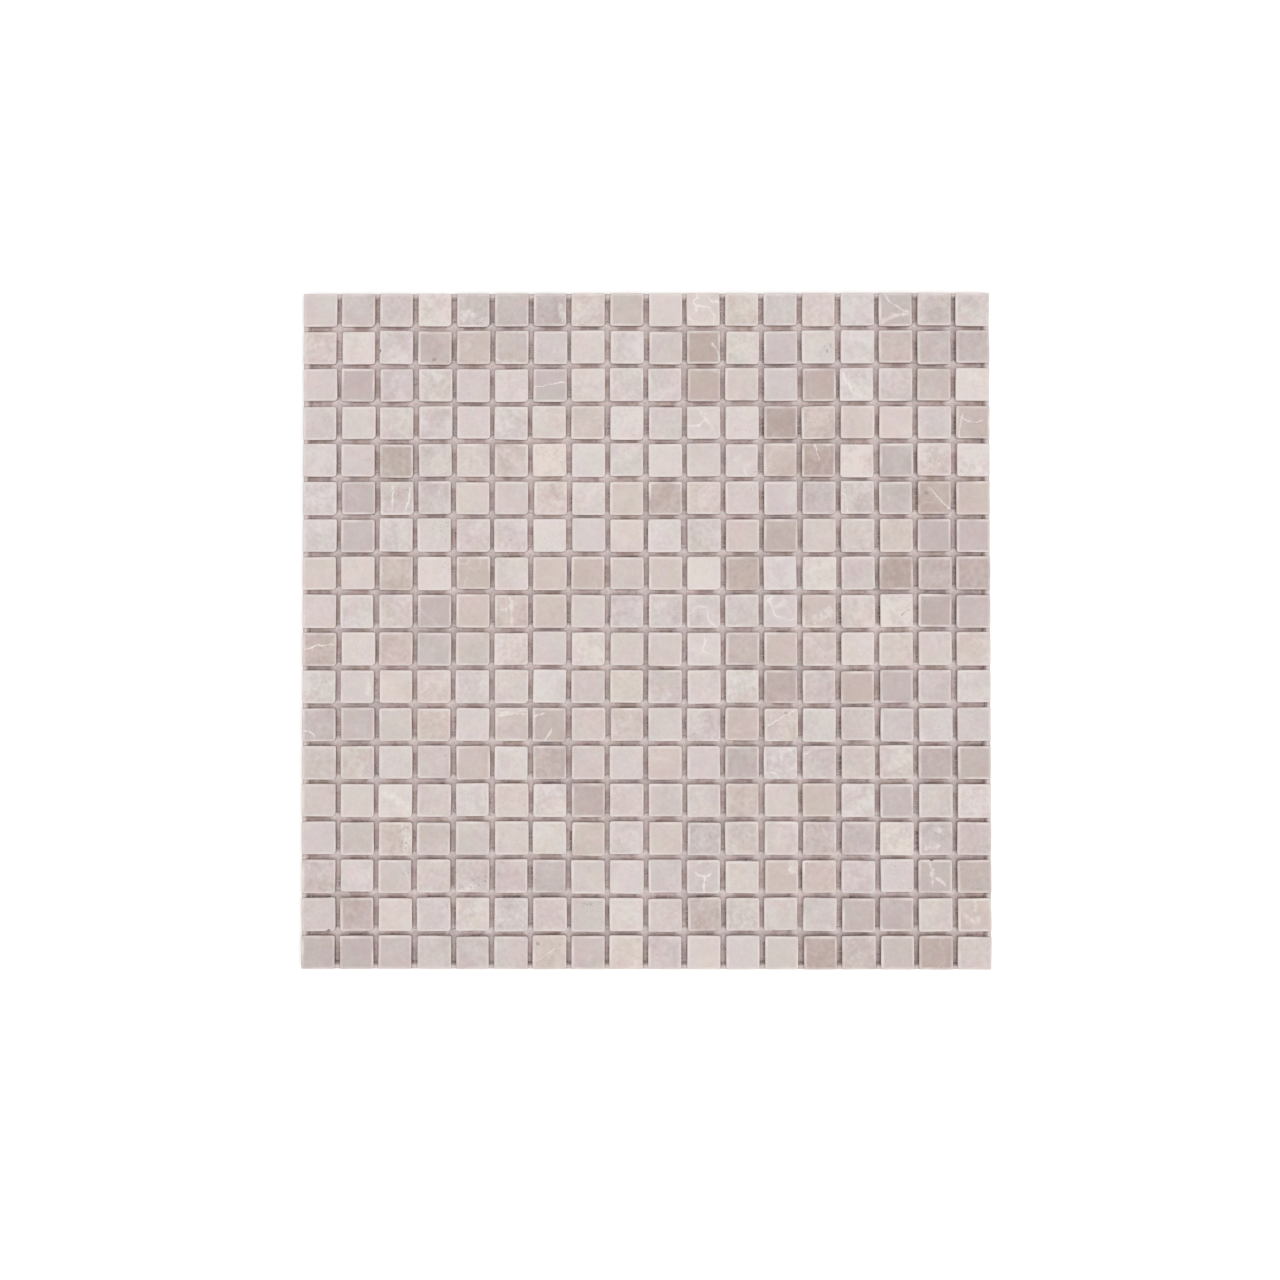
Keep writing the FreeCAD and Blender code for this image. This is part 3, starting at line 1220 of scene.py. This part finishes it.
@dataclass
class Adhesive:
    """The set adhesive that shows in the joints: a film on the net, with a low mound at each crossing."""

    grid: Grid
    film_bottom: float = 0.02 * MM
    film_thickness: float = 0.1 * MM
    film_spread: float = 0.03 * MM
    width_spread: float = 0.12 * MM
    tuck: float = 1.0 * MM
    # How much higher the film lies to the left of a joint down the sheet, and above one across it
    slopes: tuple[float, float] = (0.4 * MM, 0.8 * MM)
    # How many times the film changes from one crossing to the next
    steps: int = 4
    # So that no two undersides lie in one plane where the films cross
    crossing_lift: float = 0.02 * MM
    edge_inset: float = 0.03 * MM
    height: float = 1.35 * MM
    height_spread: float = 0.3 * MM
    height_least: float = 0.7 * MM
    # The adhesive that closes a joint's end at the sheet's outline: how high, and how far it reaches in
    plug_height: float = 3.8 * MM
    plug_reach: tuple[float, float] = (2.4 * MM, 3.6 * MM)
    plug_tuck: float = 0.6 * MM
    plug_inset: float = 0.25 * MM
    plug_cuts: int = 4
    # The share of a plug's length that stays level, the share of its height that it then falls, how
    # suddenly it does so, and between what shares of its height each point lies
    plug_level: float = 0.4
    plug_fall: float = 0.9
    plug_curve: float = 1.5
    plug_unevenness: tuple[float, float] = (0.95, 1.05)
    roughness: float = 0.06 * MM
    # How far a mound's foot has run to the right and down, and where its top lies on X and Y
    run_off: float = 0.1 * MM
    lean: tuple[float, float] = (0.0, 2.2 * MM)
    # The shortest and longest arm of a mound: to the right, up, to the left and down
    arms: tuple[tuple[float, float], ...] = (
        (5.0 * MM, 7.6 * MM), (3.4 * MM, 4.8 * MM), (4.8 * MM, 6.8 * MM), (4.8 * MM, 7.0 * MM),
    )
    arm_half_width: float = 1.8 * MM
    # How long an arm is at its corners, to its middle, and how far a foot strays from its outline
    bluntness: float = 0.88
    foot_unevenness: tuple[float, float] = (0.9, 1.1)
    waist: float = 2.5 * MM
    chance: random.Random = field(default_factory=lambda: random.Random(11))

    @property
    def base(self) -> float:
        """The height of the film's middle, where mounds and plugs stand."""
        return self.film_bottom + self.film_thickness / 2

    def build(self, finish: bpy.types.Material) -> bpy.types.Object:
        """Lay the film along every joint, a mound on every crossing and a plug in every end.

        Args:
            finish: The adhesive's material.

        Returns:
            The adhesive, in one piece.
        """
        together = bmesh.new()
        for run in self.grid.runs():
            join(together, self._strip(*run))
        for x in self.grid.joints(0):
            for y in self.grid.joints(1):
                join(together, self._mound(Vector((x, y))))
        for outward in (1, -1):
            for run in self.grid.runs():
                join(together, self._plug(*run, outward))
        together.normal_update()
        for face in together.faces:
            face.smooth = face.normal.z > -0.5
        made = finished("joint_adhesive", together, finish)
        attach(made, BODY)
        return made

    def _strip(self, axis: int, place: float) -> Shape:
        """Shape the film of one joint, uneven in width and thickness.

        Args:
            axis: The axis that the joint runs along: 0 is X, and 1 is Y.
            place: Where the joint lies on the other axis.

        Returns:
            The film.
        """
        length = (self.grid.high - self.grid.low - Vector((1, 1, 0)) * 2 * self.edge_inset)[axis]
        width = self.grid.joint[1 - axis] + 2 * self.tuck
        strip = bar((length, width, self.film_thickness), self.steps * self.grid.count[axis])
        for vert in strip.verts:
            if vert.co.z > 0:
                raised = self.slopes[1 - axis] * self.chance.uniform(0.5, 1.5) if vert.co.y > 0 else 0.0
                vert.co.z += raised + self.chance.uniform(-self.film_spread, self.film_spread)
            vert.co.y += self.chance.gauss(0, self.width_spread)
            vert.co.z += self.base
        if axis == 1:
            return put(strip, math.pi / 2, (place, 0, 0))
        return put(strip, 0.0, (0, place, self.crossing_lift))

    def _mound(self, middle: Vector) -> Shape:
        """Shape the adhesive heaped between four corners, with an arm into each joint.

        Args:
            middle: The crossing's place.

        Returns:
            The mound.
        """
        height = max(self.chance.gauss(self.height, self.height_spread), self.height_least)
        arms = [self.chance.uniform(*reach) for reach in self.arms]
        wander = [self.chance.uniform(*self.foot_unevenness) for _ in range(16)]
        mound = bmesh.new()
        bmesh.ops.create_uvsphere(mound, u_segments=16, v_segments=6, radius=1.0)
        everything = mound.verts[:] + mound.edges[:] + mound.faces[:]
        bmesh.ops.bisect_plane(mound, geom=everything, plane_no=(0, 0, 1), clear_inner=True)
        bmesh.ops.holes_fill(mound, edges=[edge for edge in mound.edges if edge.is_boundary])
        for vert in mound.verts:
            spread = vert.co.xy.length
            step = round(math.atan2(vert.co.y, vert.co.x) / (math.pi / 8)) % 16
            spot = self._foot(step, arms) * spread * wander[step]
            spot += Vector((1, -1)) * self.run_off * spread + Vector(self.lean) * (1 - spread)
            rough = abs(self.chance.gauss(0, self.roughness)) if vert.co.z > 0.1 else 0.0
            vert.co = (*(middle + spot), height * vert.co.z ** 2 + rough)
        bmesh.ops.translate(mound, vec=(0, 0, self.base), verts=mound.verts)
        return mound

    def _foot(self, step: int, arms: Sequence[float]) -> Vector:
        """Where a mound's foot reaches in one of sixteen directions: a cross with blunt arms.

        Args:
            step: The direction, in sixteenths of a turn from +X.
            arms: How long each arm is, from the one along +X on.

        Returns:
            The place, from the crossing.
        """
        if step % 4 == 2:
            return Matrix.Rotation(step // 4 * math.pi / 2, 2) @ Vector((self.waist, self.waist))
        number = round(step / 4) % 4
        beside = (step + 1) % 4 - 1
        reach = arms[number] * (1.0 if beside == 0 else self.bluntness)
        return Matrix.Rotation(number * math.pi / 2, 2) @ Vector((reach, beside * self.arm_half_width))

    def _plug(self, axis: int, place: float, outward: int) -> Shape:
        """Shape the adhesive that closes a joint's end: a block that falls away into the joint.

        Args:
            axis: The axis that the joint runs along: 0 is X, and 1 is Y.
            place: Where the joint lies on the other axis.
            outward: 1 if the outline lies up that axis, and -1 if down it.

        Returns:
            The plug.
        """
        reach = self.chance.uniform(*self.plug_reach)
        plug = bar((1, 1, 1), self.plug_cuts)
        bmesh.ops.translate(plug, vec=(-0.5, 0, 0.5), verts=plug.verts)
        for vert in plug.verts:
            inward = (-vert.co.x - self.plug_level) / (1 - self.plug_level)
            height = self.plug_height * (1 - self.plug_fall * min(max(inward, 0.0), 1.0) ** self.plug_curve)
            vert.co.z *= height * self.chance.uniform(*self.plug_unevenness)
            vert.co.x *= reach
            vert.co.y *= self.grid.joint[1 - axis] + 2 * self.plug_tuck
        end = Vector((place, place, self.base))
        end[axis] = (self.grid.high if outward > 0 else self.grid.low)[axis] - outward * self.plug_inset
        return put(plug, math.atan2(outward * axis, outward * (1 - axis)), end)


@dataclass
class Studio:
    """The floor, the soft light and the camera."""

    sheet_low: Vector
    sheet_high: Vector
    floor_side: float = 8.0
    floor_drop: float = 0.05 * MM
    sky: float = 0.58
    # How strong the soft lamp is, how wide it looks, and how far it leans to the right and front
    lamp: float = 1.23
    lamp_width: float = math.radians(60)
    lamp_lean: tuple[float, float] = (math.radians(14), math.radians(14))
    camera_height: float = 1.2
    camera_place: tuple[float, float] = (11.6 * MM, -41.6 * MM)
    camera_tilt: tuple[float, float] = (math.radians(1.77), math.radians(0.68))
    lens: float = 75.6

    def build(self) -> None:
        """Set up the floor, the light, the camera and the view."""
        self._floor()
        self._light()
        self._camera()
        bpy.context.scene.view_settings.view_transform = "Standard"

    def _floor(self) -> None:
        """Lay the floor just under the net."""
        sheet = bmesh.new()
        bmesh.ops.create_grid(sheet, x_segments=1, y_segments=1, size=self.floor_side / 2)
        bmesh.ops.translate(sheet, vec=(0, 0, self.sheet_low.z - self.floor_drop), verts=sheet.verts)
        floor = finished("floor", sheet, PaleFloor().material())
        floor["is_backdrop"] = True

    def _light(self) -> None:
        """Light the sheet from a white sky and one wide soft lamp from its lower right."""
        world = bpy.data.worlds.new("sky")
        shader = Shader("sky", sky=world)
        lighting, seen = (
            shader.node("ShaderNodeBackground", {}, {"Color": (1.0, 1.0, 1.0), "Strength": strength})
            for strength in (self.sky, 1.0)
        )
        looked_at = shader.node("ShaderNodeLightPath").outputs["Is Camera Ray"]
        shares = {0: looked_at, 1: lighting.outputs[0], 2: seen.outputs[0]}
        mixed = shader.node("ShaderNodeMixShader", {}, shares)
        shader.node("ShaderNodeOutputWorld", {}, {"Surface": mixed.outputs[0]})
        bpy.context.scene.world = world
        lamp = bpy.data.lights.new("soft_lamp", "SUN")
        lamp.energy = self.lamp
        lamp.angle = self.lamp_width
        placed = bpy.data.objects.new("soft_lamp", lamp)
        placed.rotation_euler = (*reversed(self.lamp_lean), 0.0)
        bpy.context.scene.collection.objects.link(placed)

    def _camera(self) -> None:
        """Hang the camera above the sheet, very nearly square to it."""
        camera = bpy.data.cameras.new("camera")
        camera.sensor_width = 36.0
        camera.lens = self.lens
        camera.clip_start = 0.01
        camera.clip_end = 20.0
        placed = bpy.data.objects.new("camera", camera)
        placed.location = (*self.camera_place, self.sheet_high.z + self.camera_height)
        placed.rotation_euler = (*self.camera_tilt, 0.0)
        bpy.context.scene.collection.objects.link(placed)
        bpy.context.scene.camera = placed


@dataclass
class MosaicSheet:
    """The whole sheet: its rows of chips on the two layers of its net."""

    low: Vector
    high: Vector
    count: tuple[int, int] = (18, 18)
    weft: Threads = Threads("net_weft_threads", 0, 2.24 * MM, 0.55 * MM)
    warp: Threads = Threads("net_warp_threads", 1, 2.0 * MM, 0.5 * MM)

    def build(self) -> None:
        """Build every piece of the sheet and report it."""
        grid = self._grid()
        marble = HonedMarble().material()
        for number in range(1, grid.count[1] + 1):
            self._report(ChipRow(number, grid).build(marble))
        joints = Joints(grid.pitch, (self.warp.pitch, self.weft.pitch))
        fibre = GlassFibre(joints).material()
        self._report(ThreadLayer(self.weft, self.warp, first_side=1).build(fibre))
        self._report(ThreadLayer(self.warp, self.weft, first_side=-1).build(fibre))
        self._report(Adhesive(grid).build(SetAdhesive(joints).material()))

    def _grid(self) -> Grid:
        """Read the layout of the chips from the first two rows.

        Returns:
            The layout.
        """
        first_low, first_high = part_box("chip_row_01")
        second_low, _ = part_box("chip_row_02")
        side = first_high.y - first_low.y
        pitch = ((first_high.x - first_low.x - side) / (self.count[0] - 1), first_low.y - second_low.y)
        return Grid(self.low, self.high, pitch, (pitch[0] - side, pitch[1] - side), self.count)

    @staticmethod
    def _report(piece: bpy.types.Object) -> None:
        """Log a piece and how heavy its mesh is."""
        triangles = sum(len(face.vertices) - 2 for face in piece.data.polygons)
        LOG.info("%s: %d triangles", piece.name, triangles)


def box_as_lists() -> list[list[float]]:
    """The shown object's lowest and highest corner, as plain lists."""
    return [list(corner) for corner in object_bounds()]


def main() -> None:
    """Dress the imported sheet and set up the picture."""
    logging.basicConfig(level=logging.INFO, format="%(name)s %(message)s")
    cad_box = box_as_lists()
    low, high = (Vector(corner) for corner in cad_box)
    MosaicSheet(low, high).build()
    Studio(low, high).build()


if __name__ == "__main__":
    main()
